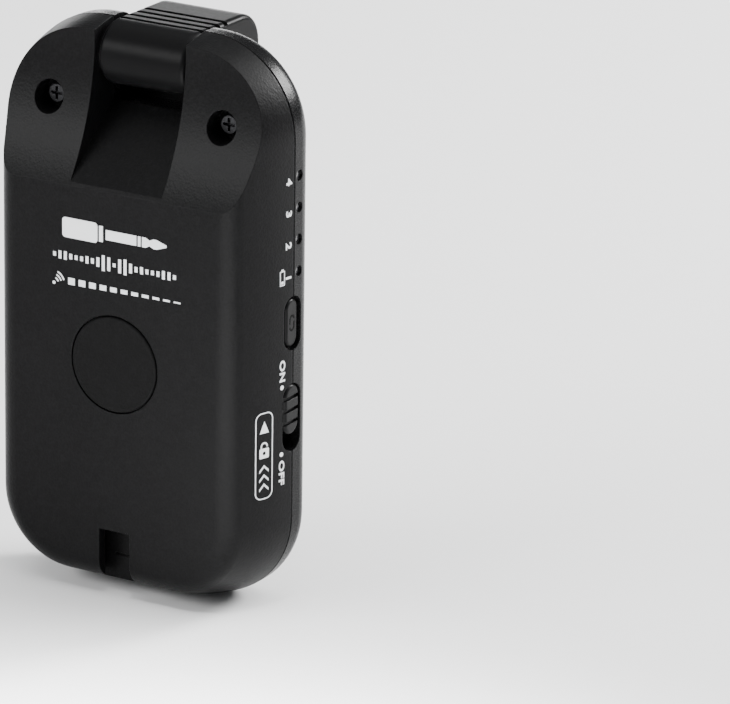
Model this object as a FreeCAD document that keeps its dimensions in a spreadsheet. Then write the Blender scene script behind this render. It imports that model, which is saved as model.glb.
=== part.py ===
"""Wireless guitar transmitter with a swing-out jack plug.

Frame: X to the right, Y to the back, Z up, millimetres.  The origin is the middle of the
bottom of the whole object's box.  The housing is two shells that meet on an upright parting
plane; the arm that carries the plug turns about X between two cheeks at the housing's top,
and at rest it is folded down behind the housing.
"""
import FreeCAD, Part
import math
import os
import re
import Sketcher
from FreeCAD import Placement, Rotation, Vector

os.makedirs("parts", exist_ok=True)
doc = FreeCAD.newDocument("guitar_transmitter")

# ---------------------------------------------------------------- driving dimensions
DIMENSIONS = [
    # housing
    ("body_width", 39.6), ("body_height", 72.4), ("corner_radius", 12.0),
    ("front_depth", 9.9), ("rear_depth", 4.7), ("wall", 1.3),
    ("crown_radius", 33.8), ("crown_angle", 8.5), ("front_edge", 3.0), ("rear_edge", 3.0),
    ("seam_bevel", 0.15),
    ("lip_height", 0.9), ("lip_root", 1.1), ("lip_wall", 0.7), ("fit_gap", 0.1),
    # scoop and channel in the housing's top
    ("scoop_radius", 31.0), ("scoop_depth", 5.75), ("scoop_drop", 1.4),
    ("ramp_start_drop", 19.2), ("ramp_end_drop", 10.6), ("sill_rise", 1.5),
    # hinge and arm
    ("hinge_drop", 4.3), ("barrel_radius", 4.1), ("pin_radius", 1.5), ("pin_bore", 0.9),
    ("pin_reach", 4.5), ("pin_run", 0.05), ("pin_seat", 3.2), ("pin_boss", 1.1),
    ("pin_chamfer", 0.3), ("washer_radius", 3.4), ("washer_thickness", 0.3),
    ("washer_play", 0.05), ("arm_width", 12.6), ("arm_depth", 8.3), ("arm_gap", 0.5),
    ("arm_drop", 10.1), ("arm_edge", 4.0), ("neck_drop", 1.5), ("arm_chamber", 5.8),
    ("cover_thickness", 1.0), ("cover_width", 10.6), ("cover_height", 7.2),
    ("rib_pitch", 1.7), ("rib_groove", 0.8), ("rib_depth", 0.45), ("rib_first", 0.1),
    ("duct_width", 2.6), ("duct_height", 1.8),
    ("arm_side_edge", 0.7), ("arm_screw_offset", 4.2), ("arm_screw_radius", 0.5),
    # jack plug
    ("plug_radius", 3.175), ("plug_length", 30.5), ("plug_inset", 4.0), ("tip_length", 8.6),
    ("ring_length", 1.0), ("collar_rim", 0.825), ("collar_length", 1.2),
    ("shank_radius", 2.4), ("shank_length", 3.6), ("liner_radius", 1.6), ("rod_radius", 0.95),
    ("rod_stub", 5.6), ("tag_thickness", 0.35), ("sleeve_tag_width", 1.8),
    ("sleeve_tag_length", 3.2), ("tip_tag_width", 1.4), ("tip_tag_length", 1.8),
    # screws
    ("screw_inset", 7.2), ("screw_drop", 10.0), ("bore_radius", 2.1), ("head_radius", 1.4),
    ("head_height", 1.3), ("seat_depth", 7.5), ("shank_thread", 0.85), ("screw_length", 5.6),
    ("cross_width", 0.38), ("cross_depth", 0.7), ("boss_wall", 0.9),
    # round pad
    ("pad_radius", 6.35), ("pad_height", 31.0), ("pad_recess", 0.6), ("pad_thickness", 0.8),
    ("pad_gap", 0.2), ("pad_edge", 0.3),
    # hook slot in the housing's foot
    ("neck_width", 4.5), ("neck_height", 9.1), ("slot_wall", 1.37), ("slot_width", 8.3),
    ("slot_height", 9.9), ("slot_depth", 2.7), ("tick_width", 3.2), ("tick_depth", 0.25),
    ("tick_height", 0.35),
    # side controls and lights
    ("button_height", 37.3), ("button_length", 6.2), ("button_width", 2.6),
    ("dish_margin", 0.4), ("dish_depth", 0.75), ("control_gap", 0.15), ("button_travel", 0.35),
    ("button_rise", 0.55), ("button_edge", 0.4), ("flange_margin", 0.6), ("flange_thickness", 0.5),
    ("flange_clear", 0.7), ("plunger_radius", 0.9), ("switch_height", 25.1),
    ("switch_length", 8.8), ("switch_width", 3.6), ("knob_length", 6.6), ("switch_travel", 2.0),
    ("knob_groove", 0.5), ("knob_pitch", 1.6), ("knob_inset", 0.05), ("knob_edge", 0.5),
    ("case_depth", 3.0), ("case_length", 3.0), ("case_height", 9.0), ("tact_height", 4.5),
    ("lever_size", 1.2),
    ("light_radius", 0.7), ("light_gap", 0.05), ("light_first_drop", 16.4), ("light_pitch", 4.08),
    ("light_back", 1.1), ("light_recess", 0.35), ("light_bar_depth", 1.25),
    ("light_bar_width", 0.8), ("led_length", 1.6), ("led_width", 1.0), ("led_depth", 0.8),
    # board and what it carries
    ("board_front", 1.5), ("board_thickness", 0.8), ("board_gap", 2.1), ("board_corner", 3.2),
    ("post_inset", 3.2), ("post_radius", 1.3), ("board_top_drop", 15.0),
    ("board_bottom", 4.2), ("battery_width", 21.0), ("battery_length", 32.0),
    ("battery_thickness", 4.9), ("battery_bottom", 12.0), ("battery_x", -1.0),
    ("foam_thickness", 1.5), ("port_width", 8.94), ("port_depth", 3.26), ("port_length", 7.3),
    ("port_wall", 0.3), ("port_height", 40.0), ("port_inset", 0.4), ("can_size", 14.0),
    ("can_height", 0.95), ("can_wall", 0.2), ("lead_radius", 0.4), ("connector_width", 4.4),
    ("connector_depth", 2.4), ("connector_height", 3.2), ("tongue_thickness", 0.7),
    ("tongue_margin", 1.2),
]
sheet = doc.addObject("Spreadsheet::Sheet", "Sizes")
for row, (alias, number) in enumerate(DIMENSIONS, start=1):
    sheet.set(f"A{row}", alias)
    sheet.set(f"B{row}", str(number))
    sheet.setAlias(f"B{row}", alias)
doc.recompute()

# Places that follow from the driving dimensions.
PLACES = {
    "half_width": "body_width / 2",
    "hinge_height": "body_height - hinge_drop",
    "ramp_start": "body_height - ramp_start_drop",
    "ramp_end": "body_height - ramp_end_drop",
    "channel_width": "arm_width + 2 * (washer_thickness + washer_play)",
    "screw_x": "half_width - screw_inset",
    "screw_height": "body_height - screw_drop",
    "collar_radius": "plug_radius + collar_rim",
    "board_width": "body_width - 2 * (wall + board_gap)",
    "board_top": "body_height - board_top_drop",
    "light_first": "body_height - light_first_drop",
    "pad_rise": "pad_thickness - pad_recess",
    "front_y": "-(front_depth + rear_depth + arm_gap + arm_depth - pad_rise) / 2",
    "part_y": "front_y + front_depth",
    "back_y": "part_y + rear_depth",
    "arm_back_y": "back_y + arm_gap + arm_depth",
    "arm_front_y": "back_y + arm_gap",
    "arm_bottom_z": "hinge_height - arm_drop",
    "plug_y": "arm_back_y - plug_inset",
    "scoop_y": "front_y + scoop_depth - scoop_radius",
    "scoop_z": "body_height - scoop_drop",
    "barrel_bore": "pin_radius + pin_run",
    "cavity_depth": "front_depth - wall",
    "board_y": "part_y + board_front",
    "board_back_y": "board_y + board_thickness",
    "battery_back_y": "board_y - foam_thickness",
    "collar_z": "arm_bottom_z - collar_length",
    "plug_end_z": "collar_z - plug_length",
    "sleeve_end_z": "plug_end_z + tip_length + ring_length",
    "flange_x": "half_width - wall - flange_clear",
    "flange_back_x": "flange_x - flange_thickness",
    "case_face_x": "flange_back_x - 2 * button_travel",
    "knob_z": "switch_height + switch_travel / 2",
    "screw_seat_y": "front_y + seat_depth",
    "port_y": "board_y - port_depth / 2",
}
ALIASES = [alias for alias, _ in DIMENSIONS]


def formula(text):
    """Spell a formula of the names above in the sheet's own terms."""
    def spell(found):
        word = found.group(0)
        if word in PLACES:
            return f"({formula(PLACES[word])})"
        return f"Sizes.{word}" if word in ALIASES else word
    return re.sub(r"[a-z_]+[a-z]", spell, text)


def value(text):
    """Number that a formula stands for."""
    return float(sheet.evalExpression(formula(text)))


# ---------------------------------------------------------------- makers
TURN = {
    "X": Rotation(Vector(0, 1, 0), 90),
    "Y": Rotation(Vector(1, 0, 0), -90),
    "Z": Rotation(),
    "-X": Rotation(Vector(0, 1, 0), -90),
}


def put(item, place, axis="Z"):
    """Turn an object's Z axis to the axis named and bind its place to the sheet."""
    item.Placement = Placement(Vector(), TURN[axis])
    for letter, text in zip("xyz", place):
        item.setExpression(f"Placement.Base.{letter}", formula(text))
    return item


def block(name, start, lengths):
    """Box from its lowest corner."""
    item = doc.addObject("Part::Box", name)
    for prop, text in zip(("Length", "Width", "Height"), lengths):
        item.setExpression(prop, formula(text))
    return put(item, start)


def rod(name, radius, length, start, axis="Z"):
    """Cylinder from the middle of its first end along an axis."""
    item = doc.addObject("Part::Cylinder", name)
    item.setExpression("Radius", formula(radius))
    item.setExpression("Height", formula(length))
    return put(item, start, axis)


def fuse(name, pieces):
    """One solid of pieces that touch or overlap."""
    item = doc.addObject("Part::MultiFuse", name)
    item.Shapes = pieces
    item.Refine = True
    return item


def cut(name, base, tools):
    """A solid with tools taken away."""
    item = doc.addObject("Part::Cut", name)
    item.Base = base
    item.Tool = tools[0] if len(tools) == 1 else fuse(f"{name}_tools", tools)
    item.Refine = True
    return item


def group(name, pieces):
    """Separate solids kept in one node."""
    item = doc.addObject("Part::Compound", name)
    item.Links = pieces
    return item


def rounded(name, base, radius, chosen):
    """Round the edges of a solid that a test chooses."""
    doc.recompute()
    item = doc.addObject("Part::Fillet", name)
    item.Base = base
    size = value(radius)
    numbers = [i for i, edge in enumerate(base.Shape.Edges, start=1) if chosen(edge)]
    item.Edges = [(number, size, size) for number in numbers]
    return item


def along(axis):
    """Test for straight edges that run along an axis."""
    index = "XYZ".index(axis)

    def test(edge):
        return (edge.Curve.TypeId == "Part::GeomLine"
                and abs(abs(edge.tangentAt(edge.FirstParameter)[index]) - 1) < 1e-6)
    return test


def pill(name, width, length, depth, centre):
    """Stadium that stands along Z and runs along X from its centre's X."""
    x, y, z = centre
    half = f"(({length}) - ({width})) / 2"
    middle = block(f"{name}_middle", (x, f"{y} - ({width}) / 2", f"{z} - {half}"),
                   (depth, width, f"({length}) - ({width})"))
    ends = [rod(f"{name}_{end}", f"({width}) / 2", depth, (x, y, f"{z} {sign} {half}"), "X")
            for end, sign in (("upper", "+"), ("lower", "-"))]
    return fuse(name, [middle] + ends)


def new_body(name, place=("0", "0", "0"), axis="Z"):
    """Empty body at a place."""
    body = doc.addObject("PartDesign::Body", name)
    return put(body, place, axis)


def plane_of(body, role):
    """One of a body's own origin planes."""
    return next(p for p in body.Origin.OriginFeatures if p.Role == role)


def outline(body, name, role, corners):
    """Closed sketch of straight lines whose corners are bound to formulas."""
    sketch = body.newObject("Sketcher::SketchObject", name)
    sketch.AttachmentSupport = [(plane_of(body, role), "")]
    sketch.MapMode = "FlatFace"
    points = [Vector(value(a), value(b), 0) for a, b in corners]
    count = len(points)
    for i in range(count):
        sketch.addGeometry(Part.LineSegment(points[i], points[(i + 1) % count]), False)
    for i in range(count):
        sketch.addConstraint(Sketcher.Constraint("Coincident", i, 2, (i + 1) % count, 1))
    for i, pair in enumerate(corners):
        for kind, text, number in zip(("DistanceX", "DistanceY"), pair, points[i]):
            index = sketch.addConstraint(Sketcher.Constraint(kind, -1, 1, i, 1, number))
            sketch.setExpression(f"Constraints[{index}]", formula(text))
    return sketch


def turned(name, profile, place, axis="Z"):
    """Body turned about its own Z from corners given as (radius, height)."""
    body = new_body(name, place, axis)
    sketch = outline(body, f"{name}_profile", "XZ_Plane", profile)
    turn = body.newObject("PartDesign::Revolution", f"{name}_turn")
    turn.Profile = sketch
    turn.ReferenceAxis = (sketch, ["V_Axis"])
    turn.Angle = 360
    return body


def padded(name, corners, thickness, place, role="XY_Plane"):
    """Body that is one outline given a thickness on both sides of its plane."""
    body = new_body(name, place)
    sketch = outline(body, f"{name}_outline", role, corners)
    pad = body.newObject("PartDesign::Pad", f"{name}_pad")
    pad.Profile = sketch
    pad.Midplane = True
    pad.setExpression("Length", formula(thickness))
    return body


def shaped(name, shape):
    """Object whose shape is worked out here from the sheet's sizes."""
    item = doc.addObject("Part::Feature", name)
    item.Shape = shape
    return item


def section(half_width, radius, corners):
    """Face of a shell's section at its +X side, from corners and arcs in (inset, Y)."""
    edges = []
    for start, middle, end in corners:
        a, b = (Vector(half_width - n, y, 0) for n, y in (start, end))
        if middle is None:
            edges.append(Part.LineSegment(a, b).toShape())
        else:
            edges.append(Part.Arc(a, Vector(half_width - middle[0], middle[1], 0), b).toShape())
    last = corners[-1][2]
    first = corners[0][0]
    loop = [last, (radius, last[1]), (radius, first[1]), first]
    for a, b in zip(loop, loop[1:]):
        edges.append(Part.LineSegment(Vector(half_width - a[0], a[1], 0),
                                      Vector(half_width - b[0], b[1], 0)).toShape())
    return Part.Face(Part.Wire(edges))


def swept_block(face, half_width, bottom, top, radius):
    """Block whose rounded-rectangle rim has the section given all the way round."""
    span = top - bottom - 2 * radius
    centre_x = half_width - radius
    side = face.translated(Vector(0, 0, bottom + radius)).extrude(Vector(0, 0, span))
    pieces = [side]
    for z, turn in ((top - radius, -90), (bottom + radius, 90)):
        start = face.translated(Vector(0, 0, z))
        pivot = Vector(centre_x, 0, z)
        pieces.append(start.revolve(pivot, Vector(0, 1, 0), turn))
        edge = start.copy()
        edge.rotate(pivot, Vector(0, 1, 0), turn)
        pieces.append(edge.extrude(Vector(-centre_x, 0, 0)))
    box = face.BoundBox
    core = Part.makeBox(centre_x, box.YLength, span, Vector(0, box.YMin, bottom + radius))
    right = pieces[0].fuse(pieces[1:] + [core])
    left = right.mirror(Vector(0, 0, 0), Vector(1, 0, 0))
    return right.fuse(left).removeSplitter()


def front_block(inset):
    """Crowned front half of the housing, or its inside when inset by a wall.

    The side is an arc that leans in from the parting plane and runs tangent into the arc of
    the front edge, whose own end is tangent to the flat front.
    """
    half_width = value("half_width") - inset
    radius = value("corner_radius") - inset
    depth = value("front_depth") - inset
    crown = value("crown_radius") - inset
    edge = value("front_edge") - inset
    lean = math.radians(value("crown_angle"))
    part_y = value("part_y")
    centre_n, centre_f = crown * math.cos(lean), -crown * math.sin(lean)
    edge_f = depth - edge
    edge_n = centre_n - math.sqrt((crown - edge) ** 2 - (edge_f - centre_f) ** 2)
    last = math.atan2(edge_f - centre_f, centre_n - edge_n)

    def crown_point(angle):
        return (centre_n - crown * math.cos(angle), part_y - centre_f - crown * math.sin(angle))

    bevel = 0 if inset else value("seam_bevel")
    first = math.asin((bevel - centre_f) / crown)
    middle = (last + math.pi / 2) / 2
    edge_middle = (edge_n - edge * math.cos(middle), part_y - edge_f - edge * math.sin(middle))
    meet = crown_point(last)
    corners = [(crown_point(first), crown_point((first + last) / 2), meet),
               (meet, edge_middle, (edge_n, part_y - depth))]
    if bevel:
        corners.insert(0, ((bevel, part_y), None, crown_point(first)))
    return swept_block(section(half_width, radius, corners), half_width, inset,
                       value("body_height") - inset, radius)


def rear_block(inset):
    """Straight-sided rear half of the housing with a rounded back edge, or its inside."""
    half_width = value("half_width") - inset
    radius = value("corner_radius") - inset
    depth = value("rear_depth") - inset
    edge = value("rear_edge") - inset
    part_y = value("part_y")
    turn = edge * (1 - math.sqrt(0.5))
    back = part_y + depth
    corners = [((0, part_y), None, (0, back - edge)),
               ((0, back - edge), (turn, back - turn), (edge, back))]
    if not inset:
        bevel = value("seam_bevel")
        corners[0] = ((0, part_y + bevel), None, (0, back - edge))
        corners.insert(0, ((bevel, part_y), None, (0, part_y + bevel)))
    return swept_block(section(half_width, radius, corners), half_width, inset,
                       value("body_height") - inset, radius)


def lip_ring():
    """Tongue inside the front shell's wall, on a root that joins it to the rear shell's."""
    rise, root = value("lip_height"), value("lip_root")
    inset = value("wall + fit_gap") + rise * math.tan(math.radians(value("crown_angle") + 2))
    inner = inset + value("lip_wall")
    part_y = value("part_y")

    def plate(away, end_y):
        half_width = value("half_width") - away
        radius = value("corner_radius") - away
        edge = [((0, part_y), None, (0, end_y))]
        return swept_block(section(half_width, radius, edge), half_width, away,
                           value("body_height") - away, radius)

    tongue = plate(inset, part_y - rise).cut(plate(inner, part_y - rise))
    base = plate(value("wall") / 2, part_y + root).cut(plate(inner, part_y + root))
    return tongue.fuse(base)


def channel_prism(width, drop, back):
    """Space between the cheeks: over the sloping ramp and out through the top."""
    front_y, part_y = value("front_y"), value("part_y")
    start, end, top = value("ramp_start"), value("ramp_end"), value("body_height") + 1
    slope = (end - start) / (part_y - front_y)
    corners = [(front_y - 1, start - slope - drop), (part_y, end - drop), (back, end - drop),
               (back, top), (front_y - 1, top)]
    points = [Vector(-width / 2, y, z) for y, z in corners]
    return Part.Face(Part.makePolygon(points + points[:1])).extrude(Vector(width, 0, 0))


def tube(points, radius):
    """Round lead along straight runs joined by arcs that touch both runs."""
    corners = [Vector(*p) for p in points]
    edges = []
    start = corners[0]
    for before, here, after in zip(corners, corners[1:], corners[2:]):
        a, b = before - here, after - here
        short = min(a.Length, b.Length)
        reach = 0.45 * short
        first = here + a.normalize() * reach
        second = here + b.normalize() * reach
        half = a.getAngle(b) / 2
        bend = reach * math.tan(half)
        centre = here + (a + b).normalize() * (reach / math.cos(half))
        middle = centre + (here - centre).normalize() * bend
        edges += [Part.LineSegment(start, first).toShape(), Part.Arc(first, middle, second).toShape()]
        start = second
    edges.append(Part.LineSegment(start, corners[-1]).toShape())
    path = Part.Wire(edges)
    heading = corners[1] - corners[0]
    ring = Part.Wire([Part.Circle(corners[0], heading, radius).toShape()])
    return path.makePipeShell([ring], True, True)


# ---------------------------------------------------------------- housing shells
channel_cut = shaped("channel_cut", channel_prism(value("channel_width"), 0, value("back_y") + 1))
channel_guard = shaped("channel_guard", channel_prism(value("channel_width + 2 * wall"),
                                                      1.4 * value("wall"), value("back_y") + 1))
scoop_cut = rod("scoop_cut", "scoop_radius", "body_width + 2",
                ("-half_width - 1", "scoop_y", "scoop_z"), "X")
scoop_guard = rod("scoop_guard", "scoop_radius + wall", "body_width + 2",
                  ("-half_width - 1", "scoop_y", "scoop_z"), "X")
pin_guards = [block(f"pin_guard_{side}", (start, "front_y + scoop_depth",
                                          "hinge_height - pin_radius - pin_boss"),
                    ("pin_seat", "front_depth + rear_depth - scoop_depth",
                     "2 * (pin_radius + pin_boss)"))
              for side, start in (("right", "channel_width / 2"),
                                  ("left", "-channel_width / 2 - pin_seat"))]
SCREW_X = (("right", "screw_x"), ("left", "-screw_x"))
screw_guards = [rod(f"screw_guard_{side}", "bore_radius + boss_wall", "front_depth + rear_depth",
                    (x, "front_y", "screw_height"), "Y") for side, x in SCREW_X]
slot_guard = block("slot_guard", ("-slot_width / 2 - wall", "front_y", "0"),
                   ("slot_width + 2 * wall", "slot_depth + wall", "slot_height + wall"))
board_posts = [rod(f"board_post_{i}", "post_radius", "rear_depth - board_front - board_thickness",
                   (x, "board_back_y", z), "Y")
               for i, (x, z) in enumerate([(f"{sign} * (board_width / 2 - post_inset)", z)
                               for sign in (1, -1)
                               for z in ("board_bottom + post_inset", "board_top - post_inset")])]

pin_seats = rod("pin_seats", "pin_radius", "channel_width + 2 * pin_seat",
                ("-channel_width / 2 - pin_seat", "part_y", "hinge_height"), "X")
button_hole = pill("button_hole", "button_width + 2 * control_gap",
                   "button_length + 2 * control_gap", "wall + 3",
                   ("half_width - wall - 2", "part_y", "button_height"))
button_dish = pill("button_dish", "button_width + 2 * dish_margin",
                   "button_length + 2 * dish_margin", "dish_depth + 1",
                   ("half_width - dish_depth", "part_y", "button_height"))
switch_hole = pill("switch_hole", "switch_width", "switch_length", "wall + 3",
                   ("half_width - wall - 2", "part_y", "switch_height"))
port_hole = pill("port_hole", "port_depth + 2 * control_gap", "port_width + 2 * control_gap",
                 "wall + 3", ("-half_width - 1", "port_y", "port_height"))
light_holes = [rod(f"light_hole_{i}", "light_radius", "wall + 3",
                   ("half_width - wall - 2", "part_y + light_back",
                    f"light_first - {i} * light_pitch"), "X") for i in range(4)]
openings = fuse("openings", [button_hole, button_dish, switch_hole, port_hole, pin_seats]
                + light_holes)

screw_bores = [rod(f"screw_bore_{side}", "bore_radius", "seat_depth + 1",
                   (x, "front_y - 1", "screw_height"), "Y") for side, x in SCREW_X]
screw_ways = [rod(f"screw_way_{side}", "shank_thread + control_gap", "front_depth - seat_depth",
                  (x, "screw_seat_y", "screw_height"), "Y") for side, x in SCREW_X]
pad_recess = rod("pad_recess_cut", "pad_radius", "pad_recess + 1",
                 ("0", "front_y - 1", "pad_height"), "Y")
slot_neck = block("slot_neck", ("-neck_width / 2", "front_y - 1", "-1"),
                  ("neck_width", "slot_wall + 1", "neck_height + 1"))
slot_flange = block("slot_flange", ("-slot_width / 2", "front_y + slot_wall", "-1"),
                    ("slot_width", "slot_depth - slot_wall", "slot_height + 1"))
slot_tick = block("slot_tick", ("-tick_width / 2", "front_y + slot_depth", "slot_height / 2"),
                  ("tick_width", "tick_depth", "tick_height"))

front_cavity = cut("front_cavity", shaped("front_inside", front_block(value("wall"))),
                   [channel_guard, scoop_guard, slot_guard] + pin_guards + screw_guards)
front_shell = cut("front_shell", shaped("front_outside", front_block(0)),
                  [front_cavity, channel_cut, scoop_cut, pad_recess, slot_neck, slot_flange,
                   slot_tick, openings] + screw_bores + screw_ways)

rear_cavity = cut("rear_cavity", shaped("rear_inside", rear_block(value("wall"))),
                  [channel_guard] + pin_guards + screw_guards + board_posts)
LIP_DEPTH = "lip_height + lip_root"
LIP_Y = "part_y - lip_height"
lip_breaks = [block("lip_break_right", ("half_width - corner_radius", LIP_Y, "switch_height - 9"),
                    ("corner_radius - wall", LIP_DEPTH, "light_first - switch_height + 12")),
              block("lip_break_left", ("wall - half_width", LIP_Y, "port_height - 6"),
                    ("corner_radius", LIP_DEPTH, "12")),
              block("lip_break_top", ("-channel_width / 2 - pin_seat - 1", LIP_Y,
                                      "screw_height - 2"),
                    ("channel_width + 2 * pin_seat + 2", LIP_DEPTH, "body_height"))]
lip = cut("lip", shaped("lip_outline", lip_ring()), lip_breaks + [openings])
screw_pilots = [rod(f"screw_pilot_{side}", "shank_thread", "screw_length - front_depth + seat_depth",
                    (x, "part_y", "screw_height"), "Y") for side, x in SCREW_X]
rear_solid = cut("rear_solid", shaped("rear_outside", rear_block(0)),
                 [rear_cavity, channel_cut, openings] + screw_pilots)
# The sill behind the barrel closes the way through under it.
channel_sill = block("channel_sill", ("-channel_width / 2", "back_y - wall", "ramp_end - wall"),
                     ("channel_width", "wall", "wall + sill_rise"))
rear_shell = fuse("rear_shell", [rear_solid, lip, channel_sill])

# ---------------------------------------------------------------- fasteners of the housing


def cross_screw(name, head, rise, shank, length, place):
    """Pan-head screw that points along +Y, with a cross cut in its head."""
    solid = turned(f"{name}_turned", [("0", f"-({rise})"), (f"{head} * 0.8", f"-({rise})"),
                                      (head, f"-({rise}) * 0.6"), (head, "0"), (shank, "0"),
                                      (shank, f"{length} - 0.3"), (f"{shank} * 0.6", length),
                                      ("0", length)], place, "Y")
    x, y, z = place
    span = f"1.2 * ({head})"
    bars = [block(f"{name}_bar_{i}", (f"{x} - ({a}) / 2", f"{y} - ({rise})", f"{z} - ({b}) / 2"),
                  (a, "cross_depth", b))
            for i, (a, b) in enumerate([(span, "cross_width"), ("cross_width", span)])]
    return cut(name, solid, bars)


housing_screws = group("housing_screws", [
    cross_screw(f"housing_screw_{side}", "head_radius", "head_height", "shank_thread",
                "screw_length", (x, "screw_seat_y", "screw_height")) for side, x in SCREW_X])

round_pad_disc = rod("round_pad_disc", "pad_radius - pad_gap", "pad_thickness",
                     ("0", "front_y + pad_recess - pad_thickness", "pad_height"), "Y")
round_pad = rounded("round_pad", round_pad_disc, "pad_edge",
                    lambda edge: abs(edge.BoundBox.YMax - round_pad_disc.Shape.BoundBox.YMin) < 0.01)

# ---------------------------------------------------------------- hinge
pin_profile = [("0", "0"), ("pin_radius", "0"),
               ("pin_radius", "pin_seat + pin_reach - pin_chamfer"),
               ("pin_radius - pin_chamfer", "pin_seat + pin_reach"),
               ("0", "pin_seat + pin_reach")]
hollow_profile = [("pin_bore", "0")] + pin_profile[1:4] + [("pin_bore", "pin_seat + pin_reach")]
hinge_pin_right = turned("hinge_pin_right", pin_profile,
                         ("channel_width / 2 + pin_seat", "part_y", "hinge_height"), "-X")
hinge_pin_left = turned("hinge_pin_left", hollow_profile,
                        ("-channel_width / 2 - pin_seat", "part_y", "hinge_height"), "X")
washer_profile = [("barrel_bore", "0"), ("washer_radius", "0"),
                  ("washer_radius", "washer_thickness"), ("barrel_bore", "washer_thickness")]
hinge_washers = group("hinge_washers", [
    turned("hinge_washer_right", washer_profile,
           ("channel_width / 2 - washer_thickness", "part_y", "hinge_height"), "X"),
    turned("hinge_washer_left", washer_profile,
           ("washer_thickness - channel_width / 2", "part_y", "hinge_height"), "-X")])

# ---------------------------------------------------------------- plug arm
ARM_LEFT = "-arm_width / 2"
arm_barrel = rod("arm_barrel", "barrel_radius", "arm_width", (ARM_LEFT, "part_y", "hinge_height"),
                 "X")
arm_block = block("arm_block", (ARM_LEFT, "arm_front_y", "arm_bottom_z"),
                  ("arm_width", "arm_depth", "arm_drop + barrel_radius"))
arm_neck = block("arm_neck", (ARM_LEFT, "part_y", "hinge_height - neck_drop"),
                 ("arm_width", "rear_depth + arm_gap + 1", "neck_drop + barrel_radius"))
arm_blank = fuse("arm_blank", [arm_barrel, arm_block, arm_neck])


def at_back(height):
    """Test for the edge across the arm's back at a height."""
    def test(edge):
        middle = edge.CenterOfMass
        return (along("X")(edge) and abs(middle.y - value("arm_back_y")) < 0.01
                and abs(middle.z - value(height)) < 0.01)
    return test


def on_side(edge):
    """Test for the outer rim of the arm's two flat sides, behind the hinge."""
    middle = edge.CenterOfMass
    return (abs(abs(middle.x) - value("arm_width") / 2) < 0.01
            and middle.y > value("arm_front_y") + 0.5)


arm_topped = rounded("arm_topped", arm_blank, "arm_edge", at_back("hinge_height + barrel_radius"))
arm_footed = rounded("arm_footed", arm_topped, "arm_edge / 3", at_back("arm_bottom_z"))
arm_solid = rounded("arm_solid", arm_footed, "arm_side_edge", on_side)

GROOVES = 4
rib_grooves = [block(f"rib_groove_{i}", ("-arm_width / 2 - 1",
                                         f"part_y + rib_first + {i} * rib_pitch",
                                         "hinge_height + barrel_radius - rib_depth"),
                     ("arm_width + 2", "rib_groove", "rib_depth + 1"))
               for i in range(GROOVES)]
arm_chamber_cut = block("arm_chamber_cut", ("-arm_chamber / 2", "arm_front_y", "arm_bottom_z + wall"),
                        ("arm_chamber", "arm_depth - wall", "arm_drop - wall + 1"))
cover_seat = block("cover_seat", ("-cover_width / 2", "arm_front_y", "arm_bottom_z + wall / 2"),
                   ("cover_width", "cover_thickness", "cover_height"))
lead_duct = block("lead_duct", ("-duct_width / 2", "part_y", "hinge_height - duct_height / 2"),
                  ("duct_width", "rear_depth + arm_gap + 1", "duct_height"))
barrel_way = rod("barrel_way", "barrel_bore", "arm_width", (ARM_LEFT, "part_y", "hinge_height"), "X")
shank_way = rod("shank_way", "shank_radius", "wall", ("0", "plug_y", "arm_bottom_z"))
COVER_Z = "arm_bottom_z + wall / 2 + cover_height / 2"
ARM_SCREW_X = (("right", "arm_screw_offset"), ("left", "-arm_screw_offset"))
arm_pilots = [rod(f"arm_pilot_{side}", "arm_screw_radius", "3",
                  (x, "arm_front_y + cover_thickness", COVER_Z), "Y") for side, x in ARM_SCREW_X]
arm_housing = cut("arm_housing", arm_solid, rib_grooves + [arm_chamber_cut, cover_seat, lead_duct,
                                                           barrel_way, shank_way] + arm_pilots)

cover_plate = block("cover_plate", ("fit_gap - cover_width / 2", "arm_front_y",
                                    "arm_bottom_z + wall / 2 + fit_gap"),
                    ("cover_width - 2 * fit_gap", "cover_thickness", "cover_height - 2 * fit_gap"))
cover_ways = [rod(f"cover_way_{side}", "arm_screw_radius + fit_gap", "cover_thickness",
                  (x, "arm_front_y", COVER_Z), "Y") for side, x in ARM_SCREW_X]
cover_sinks = [rod(f"cover_sink_{side}", "2 * arm_screw_radius + fit_gap", "cover_thickness / 2",
                   (x, "arm_front_y", COVER_Z), "Y") for side, x in ARM_SCREW_X]
arm_cover = cut("arm_cover", cover_plate, cover_ways + cover_sinks)
arm_screws = group("arm_screws", [
    turned(f"arm_screw_{side}", [("0", "0"), ("2 * arm_screw_radius", "0"),
                                 ("2 * arm_screw_radius", "0.4 * cover_thickness"),
                                 ("arm_screw_radius", "0.4 * cover_thickness"),
                                 ("arm_screw_radius", "cover_thickness + 2.8"),
                                 ("0", "cover_thickness + 2.8")],
           (x, "arm_front_y + 0.1 * cover_thickness", COVER_Z), "Y") for side, x in ARM_SCREW_X])

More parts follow.
